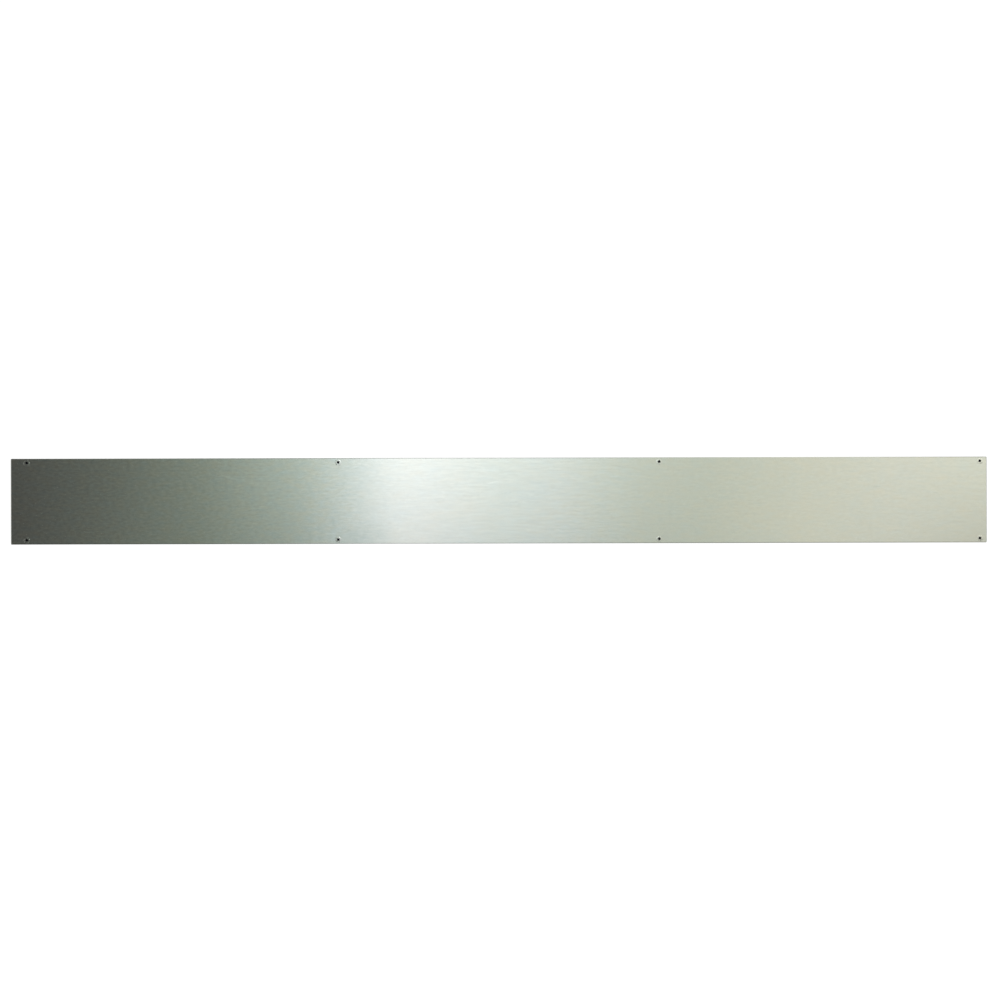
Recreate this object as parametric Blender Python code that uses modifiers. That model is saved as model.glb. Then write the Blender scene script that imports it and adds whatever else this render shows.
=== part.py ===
"""Kick plate: a long satin stainless strip that is screwed flat to the foot of a door.

The strip is bevelled round its front face and held by countersunk cross-head screws in four
columns, one by the top edge and one by the bottom edge in each.

Metres. +X runs along the strip, +Z is up and the front faces -Y. The origin is the middle of
the back face, which lies on the door.
"""
from math import pi, radians, tan

import bmesh
import bpy
from mathutils import Matrix, Vector

# ---- driving sizes ---------------------------------------------------------------------------

# the sheet
LENGTH = 1.1557                  # 45 1/2 in
HEIGHT = 0.1016                  # 4 in
THICKNESS = 0.00127              # 0.050 in
EDGE_BEVEL = 0.0008              # 45 degree bevel round the front face
FRONT_CORNER_RADIUS = 0.0003     # left at the front face's corners, inside the bevel
CORNER_STEPS = 5

# where the screws go
LEFT_MARGIN = 0.0191             # left end to the first column
RIGHT_MARGIN = 0.0083            # right end to the last column
MIDDLE_PITCH = 0.380             # between the two middle columns, which sit about the middle
EDGE_LAND = 0.0007               # flat metal between a countersink and the bevel beside it

# the screws: No. 6 flat head, 5/8 in long
HEAD_DIAMETER = 0.0063
HEAD_ANGLE = radians(82)         # whole angle of the cone under the head
HEAD_RIM = 0.0001                # straight rim above the cone
SHANK_DIAMETER = 0.0035          # over the threads
SCREW_LENGTH = 0.0159            # from the head's face to the point
POINT_LENGTH = 0.0036
POINT_DIAMETER = 0.0006          # flat left on the point
HEAD_DROP = 0.00005              # the head's face sits this far below the sheet's

# the cross recess in each head
RECESS_SPAN = 0.0039             # across the wings at the head's face
RECESS_FLOOR_SPAN = 0.0019       # across the wings at the bottom
RECESS_WING = 0.00085            # thickness of a wing at the head's face
RECESS_FLOOR_WING = 0.0006       # and at the bottom
RECESS_DEPTH = 0.0016
RECESS_TURN = radians(137.5)     # each recess stops this much further round than the one before

# fits
SEAT_CLEARANCE = 0.0003          # head to countersink, measured along the radius
SHANK_CLEARANCE = 0.00035        # shank to hole, measured along the radius

ROUND_STEPS = 48                 # sides on round pieces and holes
OVERCUT = 0.0005                 # how far a cutter runs past the face that it cuts
SHARPEST_SMOOTH = radians(30)    # edges that turn further than this stay crisp

# ---- worked out ------------------------------------------------------------------------------

CONE_SLOPE = tan(HEAD_ANGLE / 2)
HEAD_RADIUS = HEAD_DIAMETER / 2
SHANK_RADIUS = SHANK_DIAMETER / 2
# the countersink's cone clears the bottom corner of the head's rim, which is its tightest place
SINK_RADIUS = HEAD_RADIUS + SEAT_CLEARANCE + (HEAD_DROP + HEAD_RIM) * CONE_SLOPE
HOLE_RADIUS = SHANK_RADIUS + SHANK_CLEARANCE
CORNER_RADIUS = EDGE_BEVEL + FRONT_CORNER_RADIUS
ROW_INSET = EDGE_BEVEL + EDGE_LAND + SINK_RADIUS  # top and bottom edge to the row beside it

COLUMNS = (
    -LENGTH / 2 + LEFT_MARGIN,
    -MIDDLE_PITCH / 2,
    MIDDLE_PITCH / 2,
    LENGTH / 2 - RIGHT_MARGIN,
)
ROWS = {
    "top": HEIGHT / 2 - ROW_INSET,
    "bottom": -HEIGHT / 2 + ROW_INSET,
}

# a turned piece is made about its own Z; this lays it along Y, its top out of the front
FACING_OUT = Matrix.Rotation(pi / 2, 4, "X")


# ---- helpers ---------------------------------------------------------------------------------

def clear_scene():
    for old in list(bpy.data.objects):
        bpy.data.objects.remove(old, do_unlink=True)


def new_collection(name):
    collection = bpy.data.collections.new(name)
    bpy.context.scene.collection.children.link(collection)
    return collection


def metal(name, color, roughness):
    material = bpy.data.materials.new(name)
    material.use_nodes = True
    shader = material.node_tree.nodes["Principled BSDF"]
    shader.inputs["Base Color"].default_value = (*color, 1.0)
    shader.inputs["Metallic"].default_value = 1.0
    shader.inputs["Roughness"].default_value = roughness
    material.diffuse_color = (*color, 1.0)
    return material


def object_from(bm, name, collection, material=None):
    mesh = bpy.data.meshes.new(name)
    bm.to_mesh(mesh)
    bm.free()
    made = bpy.data.objects.new(name, mesh)
    collection.objects.link(made)
    if material:
        mesh.materials.append(material)
    return made


def shade_round(mesh):
    mesh.shade_smooth()
    mesh.set_sharp_from_angle(angle=SHARPEST_SMOOTH)


def evaluated_mesh(source):
    bpy.context.view_layer.update()
    graph = bpy.context.evaluated_depsgraph_get()
    return bpy.data.meshes.new_from_object(source.evaluated_get(graph))


def turned(name, profile, collection, material=None):
    """A closed turned piece about its own Z, from (radius, height) points, top to bottom."""
    bm = bmesh.new()
    points = [bm.verts.new((radius, 0.0, height)) for radius, height in profile]
    for upper, lower in zip(points, points[1:]):
        bm.edges.new((upper, lower))
    made = object_from(bm, name, collection, material)
    screw = made.modifiers.new("Turn", "SCREW")
    screw.axis = "Z"
    screw.angle = 2 * pi
    screw.steps = ROUND_STEPS
    screw.render_steps = ROUND_STEPS
    screw.use_merge_vertices = True
    screw.merge_threshold = 0.000001
    return made


def as_cutter(made):
    made.hide_render = True
    made.display_type = "WIRE"
    return made


def cut(made, cutter):
    boolean = made.modifiers.new("Cut " + cutter.name, "BOOLEAN")
    boolean.operation = "DIFFERENCE"
    boolean.object = cutter
    boolean.solver = "EXACT"


# ---- the sheet -------------------------------------------------------------------------------

def make_sheet(parts, material):
    bm = bmesh.new()
    bmesh.ops.create_cube(bm, size=1.0)
    bmesh.ops.scale(bm, verts=bm.verts, vec=(LENGTH, THICKNESS, HEIGHT))
    bmesh.ops.translate(bm, verts=bm.verts, vec=(0.0, -THICKNESS / 2, 0.0))

    corners = [e for e in bm.edges if abs(e.verts[0].co.y - e.verts[1].co.y) > THICKNESS / 2]
    bmesh.ops.bevel(
        bm,
        geom=corners,
        offset=CORNER_RADIUS,
        segments=CORNER_STEPS,
        profile=0.5,
        affect="EDGES",
    )
    front = [e for e in bm.edges if all(v.co.y < -THICKNESS * 0.9 for v in e.verts)]
    bmesh.ops.bevel(
        bm,
        geom=front,
        offset=EDGE_BEVEL,
        segments=1,
        profile=0.5,
        affect="EDGES",
    )
    sheet = object_from(bm, "plate_sheet", parts, material)
    shade_round(sheet.data)
    return sheet


def make_hole_cutter(name, x, z, cutters):
    """Countersink and through hole in one turned cutter, wide end out of the front."""
    cone_depth = (SINK_RADIUS - HOLE_RADIUS) / CONE_SLOPE
    profile = (
        (0.0, OVERCUT),
        (SINK_RADIUS + OVERCUT * CONE_SLOPE, OVERCUT),
        (HOLE_RADIUS, -cone_depth),
        (HOLE_RADIUS, -max(THICKNESS, cone_depth) - OVERCUT),
        (0.0, -max(THICKNESS, cone_depth) - OVERCUT),
    )
    cutter = as_cutter(turned(name, profile, cutters))
    cutter.matrix_world = Matrix.Translation((x, -THICKNESS, z)) @ FACING_OUT
    return cutter


# ---- the screws ------------------------------------------------------------------------------

def make_wing_cutter(name, turn, cutters):
    """One blade of the cross recess, through the axis, narrowing towards the bottom."""
    bm = bmesh.new()
    bmesh.ops.create_cube(bm, size=1.0)
    for vert in bm.verts:
        height = OVERCUT if vert.co.z > 0 else -RECESS_DEPTH
        rise = (height + RECESS_DEPTH) / RECESS_DEPTH
        span = RECESS_FLOOR_SPAN + (RECESS_SPAN - RECESS_FLOOR_SPAN) * rise
        wing = RECESS_FLOOR_WING + (RECESS_WING - RECESS_FLOOR_WING) * rise
        vert.co = Vector((vert.co.x * span, vert.co.y * wing, height))
    cutter = as_cutter(object_from(bm, name, cutters))
    cutter.matrix_world = Matrix.Rotation(turn, 4, "Z")
    return cutter


def make_screw_mesh(cutters, material):
    """The screw's mesh about its own Z, with the head's face at zero and the point down."""
    cone_end = -HEAD_RIM - (HEAD_RADIUS - SHANK_RADIUS) / CONE_SLOPE
    profile = (
        (0.0, 0.0),
        (HEAD_RADIUS, 0.0),
        (HEAD_RADIUS, -HEAD_RIM),
        (SHANK_RADIUS, cone_end),
        (SHANK_RADIUS, -SCREW_LENGTH + POINT_LENGTH),
        (POINT_DIAMETER / 2, -SCREW_LENGTH),
        (0.0, -SCREW_LENGTH),
    )
    blank = turned("screw_blank", profile, cutters, material)
    for name, turn in (("recess_wing_a", 0.0), ("recess_wing_b", pi / 2)):
        cut(blank, make_wing_cutter(name, turn, cutters))
    mesh = evaluated_mesh(blank)
    mesh.name = "screw"
    shade_round(mesh)
    bpy.data.objects.remove(blank, do_unlink=True)
    return mesh


def place_screw(name, mesh, x, z, turn, parts):
    screw = bpy.data.objects.new(name, mesh)
    parts.objects.link(screw)
    place = Matrix.Translation((x, -THICKNESS + HEAD_DROP, z))
    screw.matrix_world = place @ FACING_OUT @ Matrix.Rotation(turn, 4, "Z")


# ---- the whole object ------------------------------------------------------------------------

def build():
    clear_scene()
    parts = new_collection("kick_plate")
    cutters = new_collection("cutters")
    satin_steel = metal("satin_stainless_sheet", (0.60, 0.62, 0.57), 0.34)
    screw_steel = metal("stainless_screw", (0.55, 0.56, 0.54), 0.28)

    sheet = make_sheet(parts, satin_steel)
    screw_mesh = make_screw_mesh(cutters, screw_steel)
    turn = 0.0
    for row, z in ROWS.items():
        for number, x in enumerate(COLUMNS, 1):
            cut(sheet, make_hole_cutter(f"hole_{row}_{number}", x, z, cutters))
            place_screw(f"screw_{row}_{number}", screw_mesh, x, z, turn, parts)
            turn += RECESS_TURN


build()
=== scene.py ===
from math import atan2, copysign, hypot, pi, radians, tan

import bpy
from mathutils import Matrix, Vector


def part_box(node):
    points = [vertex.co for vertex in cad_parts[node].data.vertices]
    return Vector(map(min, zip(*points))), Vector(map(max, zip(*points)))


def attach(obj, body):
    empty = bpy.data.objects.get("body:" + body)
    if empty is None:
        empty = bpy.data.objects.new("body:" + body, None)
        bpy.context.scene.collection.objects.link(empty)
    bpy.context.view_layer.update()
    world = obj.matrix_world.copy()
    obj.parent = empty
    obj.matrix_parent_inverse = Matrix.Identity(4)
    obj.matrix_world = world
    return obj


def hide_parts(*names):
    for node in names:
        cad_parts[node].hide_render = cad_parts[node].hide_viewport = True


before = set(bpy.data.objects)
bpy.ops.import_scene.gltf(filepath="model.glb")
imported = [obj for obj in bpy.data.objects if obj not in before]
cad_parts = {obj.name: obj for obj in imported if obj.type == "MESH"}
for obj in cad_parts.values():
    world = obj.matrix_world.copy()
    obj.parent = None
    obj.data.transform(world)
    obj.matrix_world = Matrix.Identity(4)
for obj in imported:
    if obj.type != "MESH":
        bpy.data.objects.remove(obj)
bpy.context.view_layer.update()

# A satin stainless kick plate: one bevelled sheet and eight countersunk cross-head screws.
# Metres. +X runs along the sheet, +Z is up, the satin front faces -Y and the back lies on Y = 0.

# ---- sizes -----------------------------------------------------------------------------------

sheet_low, sheet_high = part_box("plate_sheet")
LENGTH = sheet_high.x - sheet_low.x
THICKNESS = sheet_high.y - sheet_low.y
FRONT = sheet_low.y

EDGE_BEVEL = 0.0008
CORNER_RADIUS = 0.0011
CORNER_STEPS = 10
BROKEN_EDGE = 0.00005            # what a deburring wheel takes off every arris
BROKEN_STEPS = 2
HOLE_CELL = 0.006                # half the side of the plain square left round each hole
CRISP_SHEET = radians(28)        # edges that turn further than this stay crisp
SQUARE_ON = 0.95                 # a face that points this straight forwards or back is flat

CONE_SLOPE = tan(radians(41))    # countersinks are cut at 82 degrees
SINK_RADIUS = 0.00358
SINK_FLARE = 0.00001             # depth and width of the flare that breaks a hole's front edge
FLARE_SLOPE = 2.2
HOLE_SIDES = 96

HEAD_RADIUS = 0.00353
HEAD_DROP = 0.00001              # the heads are driven flush
HEAD_RIM = 0.00003
RIM_ROUND = 0.000012
SCREW_SIDES = 48
SCREW_TURN = radians(137.5)      # each recess stops this much further round than the one before
CRISP_SCREW = radians(32)

THREAD_CREST = 0.00175           # No. 6 screw: radius over the thread
THREAD_ROOT = 0.00128
THREAD_PITCH = 0.00141
TOOTH_FOOT = 0.31                # pitches from the middle of a tooth to its foot
TOOTH_REACH = 1.12               # the flanks would meet at this many times the crest's height
RINGS_PER_PITCH = 14
NECK_FILLET = 0.0005             # under the cone, where the shank starts
POINT_LENGTH = 0.0042
POINT_RADIUS = 0.00022
POINT_CURVE = 0.85               # below 1, the point is a little fuller than a cone
THREAD_FADE = POINT_LENGTH * 0.9

RECESS_SPAN = 0.0038             # across the wings at the head's face
RECESS_FLOOR_SPAN = 0.0017       # across the wings at the bottom
RECESS_WING = 0.00105            # thickness of a wing at the head's face
RECESS_FLOOR_WING = 0.0007       # and at the bottom
RECESS_WING_ROUND = 0.00014      # radius of the wings' four long edges
RECESS_WING_STEPS = 3
RECESS_DEPTH = 0.0019
RECESS_WELL = 0.00148            # radius of the round well in the middle of the cross
RECESS_FLOOR_WELL = 0.0006
RECESS_TIP = 0.15                # the well's blunt tip, as a share of its floor
RECESS_TIP_DEPTH = 1.12          # and of the wings' depth
WELL_SIDES = 32
OVERCUT = 0.0004                 # how far a cutter runs past the face that it cuts
SLIVER = 0.000002                # edges shorter than this, which cutting leaves, are taken out

screw_names = sorted(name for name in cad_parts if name.startswith("screw_"))
screw_low, screw_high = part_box(screw_names[0])
SCREW_LENGTH = screw_high.y - screw_low.y
NECK = HEAD_RIM + (HEAD_RADIUS - THREAD_ROOT) / CONE_SLOPE   # where the cone meets the shank
THREAD_FINISH = NECK - 0.0002    # the rolled finish starts here
RECESS_MARGIN = 0.0004           # metal at least this thick lies between the cross and the cone
FACE_SKIN = 0.00001              # what lies no deeper than this is the head's face


def axis_of(node):
    """The point on the sheet's front plane that a screw's axis goes through."""
    low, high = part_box(node)
    return Vector(((low.x + high.x) / 2, FRONT, (low.z + high.z) / 2))


AXES = {name: axis_of(name) for name in screw_names}


# ---- modelling helpers -----------------------------------------------------------------------

def only(piece):
    """Makes one piece the only one selected, and the active one."""
    bpy.ops.object.select_all(action="DESELECT")
    piece.select_set(True)
    bpy.context.view_layer.objects.active = piece


def named(name):
    """Names the piece that was just added, and its mesh."""
    piece = bpy.context.active_object
    piece.name = name
    piece.data.name = name
    return piece


def settle(piece):
    """Puts the piece's place, turn and size into its mesh."""
    only(piece)
    bpy.ops.object.transform_apply(location=True, rotation=True, scale=True)


def pick_edges(piece, wanted):
    """Selects the edges whose two ends pass the test, and goes into edit mode."""
    only(piece)
    bpy.context.tool_settings.mesh_select_mode = (False, True, False)
    mesh = piece.data
    for part in (mesh.vertices, mesh.edges, mesh.polygons):
        part.foreach_set("select", [False] * len(part))
    for edge in mesh.edges:
        a, b = (mesh.vertices[i].co for i in edge.vertices)
        edge.select = wanted(a, b)
    bpy.ops.object.mode_set(mode="EDIT")


def pick_all(piece):
    """Goes into edit mode with everything selected."""
    only(piece)
    bpy.ops.object.mode_set(mode="EDIT")
    bpy.ops.mesh.select_all(action="SELECT")


def leave_edit():
    bpy.ops.object.mode_set(mode="OBJECT")


def bevel(piece, wanted, width, steps):
    """Bevels the edges whose two ends pass the test."""
    pick_edges(piece, wanted)
    bpy.ops.mesh.bevel(offset=width, segments=steps, affect="EDGES")
    leave_edit()


def slice_through(piece, point, facing):
    """Adds a line of edges where a plane meets the piece."""
    pick_all(piece)
    bpy.ops.mesh.bisect(plane_co=point, plane_no=facing)
    leave_edit()


def apply_modifier(piece, kind, **settings):
    only(piece)
    modifier = piece.modifiers.new(kind.title(), kind)
    for key, value in settings.items():
        setattr(modifier, key, value)
    bpy.ops.object.modifier_apply(modifier=modifier.name)


def combine(piece, tool, operation="DIFFERENCE"):
    """Cuts the tool out of the piece, or joins it on, and removes the tool."""
    apply_modifier(piece, "BOOLEAN", operation=operation, solver="EXACT", object=tool)
    bpy.data.objects.remove(tool, do_unlink=True)


def clean_cuts(piece):
    """Takes out the slivers that cutting leaves, and splits faces that turn back on themselves."""
    pick_all(piece)
    bpy.ops.mesh.dissolve_degenerate(threshold=SLIVER)
    bpy.ops.mesh.vert_connect_concave()
    leave_edit()


def turned(name, centre, profile, sides):
    """A closed turned piece about a line along Y: a disc drawn out through (radius, depth) steps."""
    radius, depth = profile[0]
    bpy.ops.object.select_all(action="DESELECT")
    bpy.ops.mesh.primitive_circle_add(
        vertices=sides,
        radius=radius,
        fill_type="NGON",
        location=centre + Vector((0, depth, 0)),
        rotation=(pi / 2, 0, 0),
    )
    piece = named(name)
    settle(piece)
    pick_all(piece)
    for next_radius, next_depth in profile[1:]:
        bpy.ops.mesh.extrude_region_move(
            TRANSFORM_OT_translate={"value": (0, next_depth - depth, 0)}
        )
        grow = next_radius / radius
        middle = centre + Vector((0, next_depth, 0))
        bpy.ops.transform.resize(value=(grow, 1, grow), center_override=middle)
        radius, depth = next_radius, next_depth
    bpy.ops.mesh.select_all(action="SELECT")
    bpy.ops.mesh.normals_make_consistent(inside=False)
    leave_edit()
    return piece


def finish_shading(piece, crisp):
    """Smooth shading that keeps the crisp edges, and flat faces flat up to their rims."""
    only(piece)
    bpy.ops.object.shade_smooth_by_angle(angle=crisp)
    apply_modifier(piece, "WEIGHTED_NORMAL", mode="FACE_AREA", weight=80, keep_sharp=True)


def give(piece, materials, choose):
    """Hands each face the material that choose(middle, normal) names."""
    order = list(materials)
    piece.data.materials.clear()
    for key in order:
        piece.data.materials.append(materials[key])
    for face in piece.data.polygons:
        face.material_index = order.index(choose(face.center, face.normal))


# ---- material helpers ------------------------------------------------------------------------

class Recipe:
    """A material's node tree, with short names for the nodes that the finishes share."""

    def __init__(self, name, metallic=1.0):
        self.material = bpy.data.materials.new(name)
        self.material.use_nodes = True
        self.nodes = self.material.node_tree.nodes
        self.links = self.material.node_tree.links
        self.shader = self.nodes["Principled BSDF"]
        self.shader.inputs["Metallic"].default_value = metallic
        self.place = self.nodes.new("ShaderNodeTexCoord").outputs["Object"]

    def feed(self, socket, value):
        """Links another node's output to the socket, or sets a plain number or colour on it."""
        if isinstance(value, bpy.types.NodeSocket):
            self.links.new(value, socket)
        else:
            socket.default_value = value

    # numbers

    def math(self, operation, first, second=0.0, clamp=False):
        node = self.nodes.new("ShaderNodeMath")
        node.operation = operation
        node.use_clamp = clamp
        self.feed(node.inputs[0], first)
        self.feed(node.inputs[1], second)
        return node.outputs[0]

    def add(self, first, *others):
        for other in others:
            first = self.math("ADD", first, other)
        return first

    def times(self, first, second, clamp=False):
        return self.math("MULTIPLY", first, second, clamp)

    def swing(self, noise, strength):
        """A noise about zero, as strong as asked."""
        return self.times(self.math("SUBTRACT", noise, 0.5), strength)

    def rings(self, distance, pitch):
        """Up and down once in every pitch."""
        return self.math("SINE", self.times(distance, 2 * pi / pitch))

    def spread(self, value, low, high, to_low=0.0, to_high=1.0, smooth=False):
        node = self.nodes.new("ShaderNodeMapRange")
        node.interpolation_type = "SMOOTHSTEP" if smooth else "LINEAR"
        node.clamp = True
        self.feed(node.inputs["Value"], value)
        node.inputs["From Min"].default_value = low
        node.inputs["From Max"].default_value = high
        node.inputs["To Min"].default_value = to_low
        node.inputs["To Max"].default_value = to_high
        return node.outputs["Result"]

    # places and directions

    def parts(self, vector):
        node = self.nodes.new("ShaderNodeSeparateXYZ")
        self.links.new(vector, node.inputs[0])
        return node.outputs

    def direction(self, x, y, z):
        node = self.nodes.new("ShaderNodeCombineXYZ")
        for socket, value in zip(node.inputs, (x, y, z)):
            self.feed(socket, value)
        return node.outputs[0]

    def vector(self, operation, first, second=(0, 0, 0)):
        node = self.nodes.new("ShaderNodeVectorMath")
        node.operation = operation
        self.feed(node.inputs[0], first)
        self.feed(node.inputs[1], second)
        return node.outputs["Value" if operation == "LENGTH" else "Vector"]

    def mapping(self, place, scale, location, turn=0.0, kind="POINT"):
        node = self.nodes.new("ShaderNodeMapping")
        node.vector_type = kind
        node.inputs["Scale"].default_value = scale
        node.inputs["Location"].default_value = location
        node.inputs["Rotation"].default_value = (0, turn, 0)
        self.links.new(place, node.inputs["Vector"])
        return node.outputs["Vector"]

    def facing(self):
        return self.nodes.new("ShaderNodeNewGeometry").outputs["Normal"]

    def tipped(self, sideways, upwards):
        """The surface's own facing, tipped a little along and up the sheet."""
        tip = self.direction(sideways, 0.0, upwards)
        return self.vector("NORMALIZE", self.vector("ADD", self.facing(), tip))

    # patterns

    def noise(self, cells, detail=2.0, roughness=0.5, shift=(0, 0, 0), warp=0.0, place=None):
        """Noise with so many cells to the metre each way; a shift sets it apart from others."""
        node = self.nodes.new("ShaderNodeTexNoise")
        node.inputs["Scale"].default_value = 1.0
        node.inputs["Detail"].default_value = detail
        node.inputs["Roughness"].default_value = roughness
        node.inputs["Distortion"].default_value = warp
        self.links.new(self.mapping(place or self.place, cells, shift), node.inputs["Vector"])
        return node.outputs["Fac"]

    def spot(self, middle, half_size, turn):
        """One in the middle of a turned oval, fading to nothing at its edge."""
        size = (half_size[0], 1.0, half_size[1])
        at = (middle[0], 0.0, middle[1])
        inside = self.mapping(self.place, size, at, -radians(turn), "TEXTURE")
        return self.spread(self.vector("LENGTH", inside), 0.0, 1.0, 1.0, 0.0, smooth=True)

    # colours

    def ramp(self, value, *stops):
        node = self.nodes.new("ShaderNodeValToRGB")
        elements = node.color_ramp.elements
        while len(elements) < len(stops):
            elements.new(0.5)
        for element, (position, color) in zip(elements, stops):
            element.position = position
            element.color = (*color, 1.0)
        self.feed(node.inputs["Fac"], value)
        return node.outputs["Color"]

    def mix(self, amount, first, second, blend="MIX"):
        node = self.nodes.new("ShaderNodeMix")
        node.data_type = "RGBA"
        node.blend_type = blend
        self.feed(node.inputs["Factor"], amount)
        self.feed(node.inputs[6], first)     # the node's colours, behind its numbers and vectors
        self.feed(node.inputs[7], second)
        return node.outputs[2]

    # the surface

    def surface(self, tone, roughness):
        self.links.new(tone, self.shader.inputs["Base Color"])
        self.links.new(roughness, self.shader.inputs["Roughness"])

    def ground(self, amount, spread_along):
        """Widens the reflections across the grinding lines, along the direction given."""
        self.links.new(spread_along, self.shader.inputs["Tangent"])
        self.shader.inputs["Anisotropic"].default_value = amount

    def bump(self, height, strength, distance, facing=None):
        node = self.nodes.new("ShaderNodeBump")
        node.inputs["Strength"].default_value = strength
        node.inputs["Distance"].default_value = distance
        self.links.new(height, node.inputs["Height"])
        if facing:
            self.links.new(facing, node.inputs["Normal"])
        self.links.new(node.outputs["Normal"], self.shader.inputs["Normal"])


# ---- finishes of the sheet -------------------------------------------------------------------

STEEL = (0.60, 0.615, 0.57)
MILL_STEEL = (0.53, 0.54, 0.53)
RUBBED_STEEL = (0.84, 0.86, 0.81, 1.0)
# colour of the dull ovals: handling marks, and a broad painted shade
DULL_RUB_AND_SHADE_STEEL = (0.45, 0.505, 0.475, 1.0)
COOL_CAST = (0.958, 1.0, 1.028)
WARM_CAST = (1.030, 1.0, 0.955)
CHATTER_PITCH = 0.00006          # between the rings that the countersinking bit leaves
TORN_FROM = -0.0002              # Y where the sheared edge starts to be torn, and is all torn
TORN_TO = -0.0001
TORN_WANDER = 0.00016

# handling marks on the front, and among the dull ones a broad painted shade: middle (along, up),
# half size, turn in degrees, and strength
RUBBED_BRIGHT = (
    ((-0.297, 0.0230), (0.050, 0.0040), -15, 0.16),
    ((-0.321, 0.0285), (0.013, 0.0021), -17, 0.60),
    ((-0.006, 0.0218), (0.012, 0.0014), 12, 0.55),
    ((-0.014, 0.0180), (0.008, 0.0010), 4, 0.35),
    ((-0.1955, -0.0405), (0.0065, 0.0085), 0, 0.20),
)
DULL_RUBS_AND_PAINTED_SHADE = (
    # painted shade: a broad darkening low down, left of the middle, not a handling mark
    ((-0.157, -0.0440), (0.050, 0.0260), 0, 0.85),
    ((-0.1955, -0.0250), (0.0026, 0.0130), 12, 0.55),
    ((0.449, 0.0155), (0.0075, 0.0008), 5, 1.0),
    ((0.518, 0.0080), (0.0045, 0.0010), -8, 1.0),
)

# how strongly the grinding shows, along the sheet from its middle: place, then strength
GRAIN_SHOWS = (
    (-0.57, 0.25),
    (-0.42, 0.19),
    (-0.28, 0.09),
    (-0.15, 0.035),
    (0.0, 0.035),
    (0.58, 0.045),
)
STROKES_SHOW = (
    (-0.58, 0.03),
    (-0.16, 0.03),
    (-0.08, 0.062),
    (0.10, 0.066),
    (0.18, 0.034),
    (0.58, 0.03),
)
CASTS_SHOW = (
    (-0.58, 0.95),
    (-0.22, 0.95),
    (-0.15, 0.3),
    (-0.02, 0.3),
    (0.06, 0.5),
    (0.58, 0.45),
)


def shade_of(color, factor):
    return tuple(channel * factor for channel in color)


def steel(r, value, darkest, lightest, low=0.3, high=0.7):
    """The steel's colour, from its darkest where the value is low to its lightest where high."""
    return r.ramp(value, (low, shade_of(STEEL, darkest)), (high, shade_of(STEEL, lightest)))


def marks(r, places):
    """All the ovals of one kind, broken up by the grain: handling marks, and among the dull ones a
    painted shade.
    """
    patchy = r.spread(r.noise((90, 1, 300), detail=3, roughness=0.6), 0.3, 0.7, 0.4, 1.2)
    ovals = [
        r.times(r.spot(middle, half_size, turn), strength)
        for middle, half_size, turn, strength in places
    ]
    return r.times(r.add(*ovals), patchy)


def shows(r, along, stops):
    """How strong something is, from (place along the sheet, strength) stops."""
    return r.ramp(along, *[(0.5 + x / LENGTH, (amount,) * 3) for x, amount in stops])


def satin_front():
    """Short, fine grinding lines along the sheet, with faint clouding, marks of handling and a broad
    painted shade low down, left of the middle.
    """
    r = Recipe("satin_front")
    grain = r.noise((190, 1, 400))
    swirl = r.noise((150, 1, 400), detail=3, roughness=0.6, shift=(5, 0, 2))
    strokes = r.noise((38, 1, 400), detail=3, roughness=0.6, shift=(3, 0, 7))
    hairs = r.noise((120, 1, 5200), roughness=0.7, shift=(9, 0, 1))
    clouds = r.noise((4, 1, 14), detail=3, shift=(2, 0, 5))
    casts = r.noise((70, 1, 170), shift=(7, 0, 3))
    stains = r.noise((16, 1, 34), shift=(1, 0, 9))
    bright = marks(r, RUBBED_BRIGHT)
    dull = marks(r, DULL_RUBS_AND_PAINTED_SHADE)
    along = r.spread(r.parts(r.place)["X"], -LENGTH / 2, LENGTH / 2)

    fine = r.swing(grain, shows(r, along, GRAIN_SHOWS))
    drawn = r.swing(strokes, shows(r, along, STROKES_SHOW))
    lines = r.add(fine, drawn, r.swing(hairs, 0.07), 0.5)
    tone = steel(r, lines, 0.80, 1.20, low=0.40, high=0.60)
    mottled = r.swing(casts, shows(r, along, CASTS_SHOW))
    cast = r.ramp(r.add(mottled, r.swing(stains, 0.35), 0.5), (0.3, COOL_CAST), (0.7, WARM_CAST))
    tone = r.mix(1.0, tone, cast, "MULTIPLY")
    tone = r.mix(r.times(bright, 0.5, clamp=True), tone, RUBBED_STEEL)
    # the dull ovals darken the colour: handling marks, and the broad low one is painted shade
    tone = r.mix(r.times(dull, 0.5, clamp=True), tone, DULL_RUB_AND_SHADE_STEEL)

    worked = r.add(r.times(strokes, 0.6), r.times(hairs, 0.4))
    polish = r.spread(worked, 0.3, 0.7, 0.238, 0.212)
    smear = r.spread(clouds, 0.35, 0.75, 0.0, 0.02)
    rubbed = r.times(r.add(bright, dull), 0.02)
    r.surface(tone, r.add(polish, smear, rubbed))
    r.ground(0.95, r.direction(0, 0, 1))
    r.bump(hairs, 0.3, 0.000003, r.tipped(r.swing(swirl, 0.036), r.swing(strokes, 0.01)))
    return r.material


def ground_bevel():
    """The bevel's own pass over the belt, with lines that run along it."""
    r = Recipe("ground_bevel")
    lines = r.noise((60, 9000, 9000), detail=3, roughness=0.65)
    r.surface(steel(r, lines, 0.82, 1.05), r.spread(lines, 0.3, 0.7, 0.30, 0.22))
    # the belt runs along each edge, so reflections spread across it
    r.ground(0.8, r.vector("MULTIPLY", r.facing(), (1, 0, 1)))
    r.bump(lines, 0.3, 0.000008)
    return r.material


def sheared_edge():
    """The thin edge left by the shear: smooth by the bevel, torn and duller by the back."""
    r = Recipe("sheared_edge")
    torn = r.noise((900, 2500, 900), detail=4, roughness=0.7)
    depth = r.add(r.parts(r.place)["Y"], r.times(torn, TORN_WANDER))
    tear = r.spread(depth, TORN_FROM, TORN_TO, smooth=True)
    tone = r.mix(tear, steel(r, torn, 0.88, 1.0), steel(r, torn, 0.55, 0.85))
    r.surface(tone, r.spread(tear, 0, 1, 0.26, 0.5))
    r.bump(r.times(torn, tear), 0.6, 0.00003)
    return r.material


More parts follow.
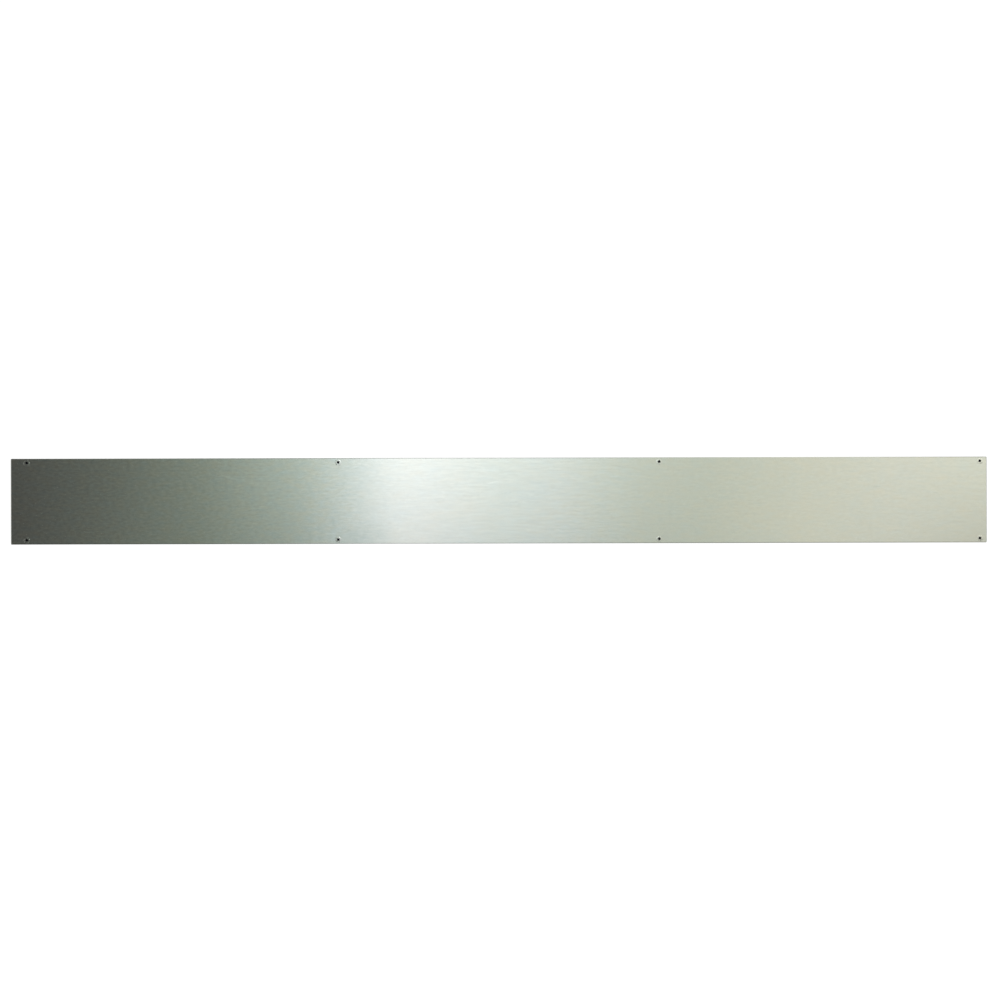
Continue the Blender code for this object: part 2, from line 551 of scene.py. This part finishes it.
def mill_back():
    """The unground back: a dull rolled surface with faint roll lines and a fine frost."""
    r = Recipe("mill_back")
    frost = r.noise((5200, 1, 5200), detail=3, roughness=0.7)
    roll_lines = r.noise((3, 1, 260), detail=4, roughness=0.6)
    patches = r.noise((6, 1, 9), detail=4, roughness=0.55, shift=(4, 0, 2), warp=0.4)
    body = r.add(r.times(frost, 0.3), r.times(roll_lines, 0.35), r.times(patches, 0.35))
    tone = r.ramp(
        body,
        (0.34, shade_of(MILL_STEEL, 0.86)),
        (0.5, MILL_STEEL),
        (0.66, shade_of(MILL_STEEL, 1.1)),
    )
    r.surface(tone, r.spread(body, 0.35, 0.65, 0.46, 0.34))
    r.ground(0.35, r.direction(0, 0, 1))
    r.bump(frost, 0.5, 0.000006)
    return r.material


def cut_sink():
    """Chatter rings left by the countersinking bit, bright on the cone."""
    r = Recipe("cut_sink")
    rings = r.rings(r.parts(r.place)["Y"], CHATTER_PITCH)
    chatter = r.noise((2500, 2500, 2500))
    cut = r.add(r.times(rings, 0.12), chatter)
    r.surface(steel(r, cut, 0.9, 1.18, high=0.75), r.spread(cut, 0.3, 0.75, 0.32, 0.2))
    r.bump(cut, 0.35, 0.00001)
    return r.material


# ---- finishes of the screws ------------------------------------------------------------------

OWN_PLACE = "own_place"          # each screw's points keep their place on the pattern screw
TURNING_PITCH = 0.00009          # between the rings left from turning the head
WORN_RADIUS = 0.0012             # the driver rubs the head out to here, and less further out
UNWORN_RADIUS = 0.0026
RECESS_SHADE_FROM = 0.00005              # depths in the cross where the painted shade starts and is darkest
RECESS_SHADE_TO = 0.0006


def own_place(r):
    """The screw's own place: Y along its axis from the head's face, X and Z across it."""
    node = r.nodes.new("ShaderNodeAttribute")
    node.attribute_name = OWN_PLACE
    return node.outputs["Vector"]


def off_axis(r, own):
    """How far from the screw's axis."""
    place = r.parts(own)
    return r.math("SQRT", r.add(r.math("POWER", place["X"], 2.0), r.math("POWER", place["Z"], 2.0)))


def screw_head():
    """Stainless head, turned in fine rings and slightly worn by the driver near the cross."""
    r = Recipe("screw_head")
    own = own_place(r)
    radius = off_axis(r, own)
    grain = r.noise((1400, 1400, 1400), detail=3, roughness=0.6, place=own)
    lathe = r.add(r.times(r.rings(radius, TURNING_PITCH), 0.07), grain)
    worn = r.spread(radius, WORN_RADIUS, UNWORN_RADIUS, 1.0, 0.0, smooth=True)
    body = steel(r, lathe, 0.92, 1.06, low=0.32, high=0.68)
    r.surface(r.mix(worn, body, steel(r, grain, 0.84, 1.1)), r.spread(lathe, 0.3, 0.7, 0.24, 0.19))
    r.bump(lathe, 0.15, 0.000004)
    return r.material


def screw_recess_painted_shade():
    """Inside the cross: punched and unpolished; its colour is darkened as painted shade, darkest
    deep down.
    """
    r = Recipe("screw_recess_painted_shade")
    own = own_place(r)
    stain = r.noise((1800, 1800, 1800), detail=3, roughness=0.6, place=own)
    deep = r.spread(r.parts(own)["Y"], RECESS_SHADE_FROM, RECESS_SHADE_TO, smooth=True)
    # painted shade: the whole cross is far darker than the steel, and darker still deep down
    upper = r.ramp(stain, (0.3, (0.12, 0.12, 0.125)), (0.7, (0.2, 0.2, 0.205)))
    lower = r.ramp(stain, (0.3, (0.012, 0.012, 0.02)), (0.7, (0.03, 0.03, 0.042)))
    r.surface(r.mix(deep, upper, lower), r.spread(stain, 0.3, 0.7, 0.6, 0.42))
    r.bump(stain, 0.4, 0.00002)
    return r.material


def screw_thread():
    """Rolled thread: bright flanks, with a darker root that is painted shade between the teeth."""
    r = Recipe("screw_thread")
    own = own_place(r)
    rolled = r.noise((900, 2600, 900), detail=3, roughness=0.6, place=own)
    crest = r.spread(off_axis(r, own), THREAD_ROOT, THREAD_CREST, smooth=True)
    # painted shade: darker towards the root between the teeth, lighter at the crests
    tone = r.mix(crest, steel(r, rolled, 0.52, 0.72), steel(r, rolled, 0.9, 1.15))
    r.surface(tone, r.spread(rolled, 0.3, 0.7, 0.36, 0.22))
    r.bump(rolled, 0.3, 0.00001)
    return r.material


# ---- the sheet -------------------------------------------------------------------------------

def hole_cutter(centre):
    """Countersinking bit: the cone, with the small flare that breaks the hole's front edge."""
    above = 0.0005
    beyond = THICKNESS + OVERCUT
    profile = (
        (SINK_RADIUS + SINK_FLARE + above * FLARE_SLOPE, -above),
        (SINK_RADIUS + SINK_FLARE, 0.0),
        (SINK_RADIUS - SINK_FLARE * CONE_SLOPE, SINK_FLARE),
        (SINK_RADIUS - beyond * CONE_SLOPE, beyond),
    )
    return turned("hole_cutter", centre, profile, HOLE_SIDES)


def near_a_hole(point):
    """Whether the point is on the wall of a hole, or on the edge that is broken round it."""
    reach = SINK_RADIUS + BROKEN_EDGE * 2
    return any(hypot(point.x - axis.x, point.z - axis.z) < reach for axis in AXES.values())


def sheet_finish(middle, normal):
    """The finish of a face, from the way that it points and from any hole beside it."""
    if near_a_hole(middle) and abs(normal.y) < 0.99:
        return "sink"
    if normal.y < -SQUARE_ON:
        return "front"
    if normal.y > SQUARE_ON:
        return "back"
    return "bevel" if normal.y < -0.3 else "edge"


def make_sheet():
    bpy.ops.object.select_all(action="DESELECT")
    middle = (sheet_low + sheet_high) / 2
    bpy.ops.mesh.primitive_cube_add(size=1, location=middle, scale=sheet_high - sheet_low)
    sheet = named("satin_sheet")
    settle(sheet)

    near_front = FRONT + THICKNESS / 10
    bevel(sheet, lambda a, b: abs(a.y - b.y) > THICKNESS / 2, CORNER_RADIUS, CORNER_STEPS)
    bevel(sheet, lambda a, b: max(a.y, b.y) < near_front, EDGE_BEVEL, 1)
    bevel(sheet, lambda a, b: abs(a.y - b.y) < THICKNESS / 10, BROKEN_EDGE, BROKEN_STEPS)

    # plain squares round the holes keep the rest of both faces in clean long panels
    for across in sorted({round(axis.x, 6) for axis in AXES.values()}):
        for side in (-HOLE_CELL, HOLE_CELL):
            slice_through(sheet, (across + side, 0, 0), (1, 0, 0))
    for up in sorted({round(axis.z, 6) for axis in AXES.values()}):
        slice_through(sheet, (0, 0, up - copysign(HOLE_CELL, up)), (0, 0, 1))
    for axis in AXES.values():
        combine(sheet, hole_cutter(axis))
    clean_cuts(sheet)

    finishes = {
        "front": satin_front(),
        "bevel": ground_bevel(),
        "edge": sheared_edge(),
        "back": mill_back(),
        "sink": cut_sink(),
    }
    give(sheet, finishes, sheet_finish)
    finish_shading(sheet, CRISP_SHEET)
    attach(sheet, "root")
    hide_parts("plate_sheet")


# ---- the screws ------------------------------------------------------------------------------

def share(value):
    """The value, kept between nothing and one."""
    return min(1.0, max(0.0, value))


def root_radius(depth):
    """Radius between the threads, which narrows to the gimlet point."""
    left = share((SCREW_LENGTH - depth) / POINT_LENGTH)
    return POINT_RADIUS + (THREAD_ROOT - POINT_RADIUS) * left ** POINT_CURVE


def tooth_height(depth, angle):
    """How far the thread stands out of the root there; it turns clockwise away from the head."""
    phase = (depth / THREAD_PITCH + angle / (2 * pi)) % 1.0
    tooth = share((1.0 - abs(phase - 0.5) / TOOTH_FOOT) * TOOTH_REACH)
    run_out = share((depth - NECK) / THREAD_PITCH)
    fading = share((SCREW_LENGTH - depth) / THREAD_FADE)
    return (THREAD_CREST - THREAD_ROOT) * tooth * run_out * fading


def make_blank():
    """Head and shank turned in one piece, its face at the origin and towards -Y."""
    profile = [
        (HEAD_RADIUS - RIM_ROUND, 0.0),
        (HEAD_RADIUS - RIM_ROUND * 0.3, RIM_ROUND * 0.3),
        (HEAD_RADIUS, RIM_ROUND),
        (HEAD_RADIUS, HEAD_RIM),
        (THREAD_ROOT + NECK_FILLET, NECK - NECK_FILLET / CONE_SLOPE),
        (THREAD_ROOT + NECK_FILLET * 0.24, NECK - NECK_FILLET * 0.1),
    ]
    rings = int((SCREW_LENGTH - NECK) / THREAD_PITCH * RINGS_PER_PITCH)
    for ring in range(rings + 1):
        depth = NECK + (SCREW_LENGTH - NECK) * (ring + 0.5) / (rings + 0.5)
        profile.append((root_radius(depth), depth))
    blank = turned("screw", Vector((0, 0, 0)), profile, SCREW_SIDES)
    for vert in blank.data.vertices:
        depth = vert.co.y
        if depth > NECK:
            root = hypot(vert.co.x, vert.co.z)
            grow = 1 + tooth_height(depth, atan2(vert.co.z, vert.co.x)) / root
            vert.co.x *= grow
            vert.co.z *= grow
    return blank


def recess_wing(turn):
    """One blade of the punch that makes the cross, narrower and thinner towards its tip."""
    depth = RECESS_DEPTH + OVERCUT
    middle = (0, depth / 2 - OVERCUT, 0)
    bpy.ops.object.select_all(action="DESELECT")
    bpy.ops.mesh.primitive_cube_add(size=1, location=middle, scale=(1, depth, 1))
    wing = named("recess_wing")
    settle(wing)
    for vert in wing.data.vertices:
        rise = (RECESS_DEPTH - vert.co.y) / RECESS_DEPTH
        vert.co.x *= RECESS_FLOOR_SPAN + (RECESS_SPAN - RECESS_FLOOR_SPAN) * rise
        vert.co.z *= RECESS_FLOOR_WING + (RECESS_WING - RECESS_FLOOR_WING) * rise
    bevel(wing, lambda a, b: abs(a.y - b.y) > depth / 2, RECESS_WING_ROUND, RECESS_WING_STEPS)
    wing.data.transform(Matrix.Rotation(turn, 4, "Y"))
    return wing


def recess_well():
    """The round middle of the punch, which ends in a blunt cone."""
    slope = (RECESS_WELL - RECESS_FLOOR_WELL) / RECESS_DEPTH
    profile = (
        (RECESS_WELL + OVERCUT * slope, -OVERCUT),
        (RECESS_FLOOR_WELL, RECESS_DEPTH),
        (RECESS_FLOOR_WELL * RECESS_TIP, RECESS_DEPTH * RECESS_TIP_DEPTH),
    )
    return turned("recess_well", Vector((0, 0, 0)), profile, WELL_SIDES)


def screw_finish(middle, normal):
    """Thread past the cone; recess for what lies below the face and well inside the cone."""
    if middle.y > THREAD_FINISH:
        return "thread"
    cone = HEAD_RADIUS - max(0.0, middle.y - HEAD_RIM) * CONE_SLOPE
    inside = hypot(middle.x, middle.z) < cone - RECESS_MARGIN
    return "recess" if inside and middle.y > FACE_SKIN else "head"


def make_screw_pattern():
    """The one screw that all eight are copied from."""
    screw = make_blank()
    punch = recess_wing(0.0)
    combine(punch, recess_wing(pi / 2), "UNION")
    combine(punch, recess_well(), "UNION")
    combine(screw, punch)
    clean_cuts(screw)
    own = screw.data.attributes.new(OWN_PLACE, "FLOAT_VECTOR", "POINT")
    own.data.foreach_set("vector", [c for vert in screw.data.vertices for c in vert.co])
    finishes = {"head": screw_head(), "recess": screw_recess_painted_shade(), "thread": screw_thread()}
    give(screw, finishes, screw_finish)
    finish_shading(screw, CRISP_SCREW)
    return screw


def place_screws():
    pattern = make_screw_pattern()
    for number, node in enumerate(screw_names):
        axis = AXES[node]
        mesh = pattern.data.copy()
        mesh.transform(Matrix.Rotation(SCREW_TURN * number, 4, "Y"))
        mesh.transform(Matrix.Translation((axis.x, FRONT + HEAD_DROP, axis.z)))
        screw = bpy.data.objects.new("seated_" + node, mesh)
        bpy.context.scene.collection.objects.link(screw)
        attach(screw, "root")
        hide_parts(node)
    bpy.data.objects.remove(pattern, do_unlink=True)


# ---- stage -----------------------------------------------------------------------------------

FRAME_WIDTH = LENGTH * 1.0243    # what the view takes in at the sheet's front
LENS = 85
SENSOR = 36
CAMERA_SIDE = 0.0015
CAMERA_RISE = 0.0007
CAMERA_ROLL = radians(0.135)
CAMERA_DISTANCE = FRAME_WIDTH * LENS / SENSOR

FLOOR_LEVEL = -0.9               # below the tent, so that the tent hides it from the sheet
FLOOR_SIDE = 40
FLOOR_GLOW = 0.3
SKY_LOWEST = 0.35                # how bright the sky is straight down, and straight up
SKY_HIGHEST = 1.05

TENT_RADIUS = 0.8
TENT_HALF_LENGTH = 1.3
TENT_SIDES = 96
TENT_BACK = TENT_RADIUS * 0.8    # how far behind the sheet the half pipe reaches
TENT_STRENGTH = 2.0
TENT_FOOT = (-0.9, -0.5)         # heights, in radii, between which it dims to its foot
TENT_FOOT_TONE = 0.35
LEAN_REACH = 0.8                 # share of the radius above which a lean turns the other way
LEAN_MOST = 4.0
MIRRORED = 1 + TENT_RADIUS / CAMERA_DISTANCE   # a place on the sheet sees the tent this much wider

# the light that the sheet mirrors, from its left end to its right: place along it, then colour
TENT_TONES = (
    (-0.98, (0.600, 0.600, 0.590)),
    (-0.78, (0.200, 0.205, 0.200)),
    (-0.68, (0.084, 0.081, 0.078)),
    (-0.60, (0.086, 0.084, 0.081)),
    (-0.47, (0.162, 0.177, 0.160)),
    (-0.35, (0.293, 0.335, 0.290)),
    (-0.235, (0.566, 0.646, 0.598)),
    (-0.175, (0.905, 0.990, 1.004)),
    (-0.125, (1.420, 1.450, 1.515)),
    (-0.08, (1.330, 1.360, 1.410)),
    (0.0, (1.135, 1.200, 1.210)),
    (0.07, (1.025, 1.075, 1.085)),
    (0.12, (0.895, 0.950, 0.915)),
    (0.17, (0.808, 0.846, 0.772)),
    (0.24, (0.787, 0.818, 0.732)),
    (0.36, (0.955, 0.948, 0.843)),
    (0.47, (1.012, 1.005, 0.925)),
    (0.60, (0.972, 0.963, 0.864)),
)
# how much brighter it is above than below, along the same line
TENT_LEANS = (
    (-0.60, 0.3),
    (-0.45, 0.0),
    (-0.38, 1.1),
    (-0.25, 3.0),
    (-0.10, 3.0),
    (0.10, 2.4),
    (0.25, 0.8),
    (0.36, 0.5),
    (0.47, 1.4),
    (0.60, 3.2),
)


def make_camera():
    bpy.ops.object.select_all(action="DESELECT")
    bpy.ops.object.camera_add(
        location=(CAMERA_SIDE, FRONT - CAMERA_DISTANCE, CAMERA_RISE),
        rotation=(pi / 2, CAMERA_ROLL, 0),
    )
    camera = bpy.context.active_object
    camera.name = "camera"
    camera.data.lens = LENS
    camera.data.sensor_width = SENSOR
    bpy.context.scene.camera = camera


def tent_stop(place):
    """A place along the sheet, as a share of the tent's whole length."""
    return 0.5 + place * MIRRORED / (2 * TENT_HALF_LENGTH)


def tent_cloth():
    """Glowing cloth: its tone runs along the sheet, and its lean up the tent."""
    r = Recipe("tent_cloth", metallic=0.0)
    place = r.parts(r.place)
    along = r.spread(place["X"], -TENT_HALF_LENGTH, TENT_HALF_LENGTH)
    tones = [(tent_stop(x), shade_of(color, 1 / TENT_STRENGTH)) for x, color in TENT_TONES]
    leans = [(tent_stop(x), (amount / LEAN_MOST,) * 3) for x, amount in TENT_LEANS]
    tone = r.ramp(along, *tones)
    lean = r.times(r.ramp(along, *leans), LEAN_MOST)
    # brighter just above the sheet than just below it, even again overhead, and dim underneath
    rise = r.math("DIVIDE", place["Z"], TENT_RADIUS)
    swell = r.times(r.rings(rise, 2 * LEAN_REACH), LEAN_REACH / pi)
    under = r.spread(rise, *TENT_FOOT, TENT_FOOT_TONE, 1.0, smooth=True)
    shade = r.times(r.add(r.times(lean, swell), 1.0), under)
    glow = r.nodes.new("ShaderNodeEmission")
    r.links.new(tone, glow.inputs["Color"])
    r.links.new(r.times(shade, TENT_STRENGTH), glow.inputs["Strength"])
    r.links.new(glow.outputs[0], r.nodes["Material Output"].inputs["Surface"])
    r.nodes.remove(r.shader)
    return r.material


def make_tent():
    """Half a pipe of lit cloth round the front of the sheet, which only its reflections show."""
    bpy.ops.object.select_all(action="DESELECT")
    bpy.ops.mesh.primitive_cylinder_add(
        vertices=TENT_SIDES,
        radius=TENT_RADIUS,
        depth=2 * TENT_HALF_LENGTH,
        end_fill_type="NOTHING",
        rotation=(0, pi / 2, 0),
    )
    tent = named("light_tent")
    settle(tent)
    pick_all(tent)
    bpy.ops.mesh.bisect(plane_co=(0, TENT_BACK, 0), plane_no=(0, 1, 0), clear_outer=True)
    leave_edit()
    tent.data.materials.append(tent_cloth())
    tent.visible_camera = False
    tent.visible_diffuse = False
    tent.visible_shadow = False


def floor_paper():
    """Pale matt paper that glows a little, as if lit from below."""
    r = Recipe("studio_floor", metallic=0.0)
    paper = r.noise((3, 3, 3), detail=3)
    tone = r.ramp(paper, (0.3, (0.88, 0.88, 0.88)), (0.7, (0.9, 0.9, 0.895)))
    r.links.new(tone, r.shader.inputs["Base Color"])
    r.shader.inputs["Roughness"].default_value = 0.8
    r.shader.inputs["Emission Color"].default_value = (1, 1, 1, 1)
    r.shader.inputs["Emission Strength"].default_value = FLOOR_GLOW
    return r.material


def make_floor():
    bpy.ops.object.select_all(action="DESELECT")
    bpy.ops.mesh.primitive_plane_add(size=FLOOR_SIDE, location=(0, 0, FLOOR_LEVEL))
    floor = named("studio_floor")
    settle(floor)
    floor.data.materials.append(floor_paper())


def make_world():
    """Even white to look at; a softer sky, dimmer low down, to be lit by."""
    world = bpy.data.worlds.new("studio")
    bpy.context.scene.world = world
    world.use_nodes = True
    nodes = world.node_tree.nodes
    links = world.node_tree.links
    background = nodes["Background"]
    path = nodes.new("ShaderNodeLightPath")
    place = nodes.new("ShaderNodeTexCoord")
    split = nodes.new("ShaderNodeSeparateXYZ")
    links.new(place.outputs["Generated"], split.inputs[0])
    sky = nodes.new("ShaderNodeMapRange")
    sky.inputs["From Min"].default_value = -1
    sky.inputs["To Min"].default_value = SKY_LOWEST
    sky.inputs["To Max"].default_value = SKY_HIGHEST
    links.new(split.outputs["Z"], sky.inputs["Value"])
    seen = nodes.new("ShaderNodeMix")            # 0 is its factor, 2 and 3 its two numbers
    links.new(path.outputs["Is Camera Ray"], seen.inputs[0])
    links.new(sky.outputs["Result"], seen.inputs[2])
    seen.inputs[3].default_value = SKY_HIGHEST
    links.new(seen.outputs[0], background.inputs["Strength"])
    background.inputs["Color"].default_value = (1, 1, 1, 1)


def soft_light(name, place, size, power):
    """A rectangular lamp that faces the middle of the sheet."""
    bpy.ops.object.select_all(action="DESELECT")
    turn = (-Vector(place)).to_track_quat("-Z", "Y").to_euler()
    bpy.ops.object.light_add(type="AREA", location=place, rotation=turn)
    lamp = bpy.context.active_object
    lamp.name = name
    lamp.data.shape = "RECTANGLE"
    lamp.data.size, lamp.data.size_y = size
    lamp.data.energy = power


bpy.context.scene.view_settings.view_transform = "Standard"
make_camera()
make_world()
make_floor()
make_tent()
soft_light("soft_light_above", place=(0.3, -0.6, 2.4), size=(2.4, 1.6), power=30)
soft_light("soft_light_behind", place=(-1.2, 2.2, 1.1), size=(1.6, 1.2), power=14)
make_sheet()
place_screws()
